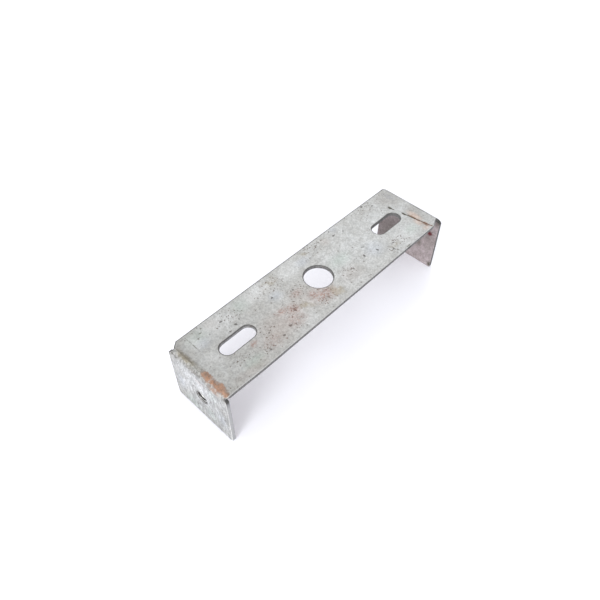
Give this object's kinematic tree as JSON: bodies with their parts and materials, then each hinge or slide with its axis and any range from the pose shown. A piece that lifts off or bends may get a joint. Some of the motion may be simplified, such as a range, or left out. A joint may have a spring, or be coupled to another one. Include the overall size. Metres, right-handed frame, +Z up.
{
  "type": "u bracket",
  "caption": "Folded steel strip bracket: a flat web with a round cable hole and fixing slots, and a short flange at each end with a tapped side hole.",
  "frame": {"origin": "middle of the footprint, on the surface that the two flange ends stand on", "axes": "+X along the web, +Y across the strip, +Z up through the web's outer face"},
  "size_m": [0.1, 0.025, 0.0236],
  "materials": {
    "zinc_steel": "dull mottled zinc coating on mild steel, dark sheared edges, light rust at one fold and along a crease"
  },
  "bodies": {
    "root": {"u_bracket": "zinc_steel"}
  },
  "joints": []
}
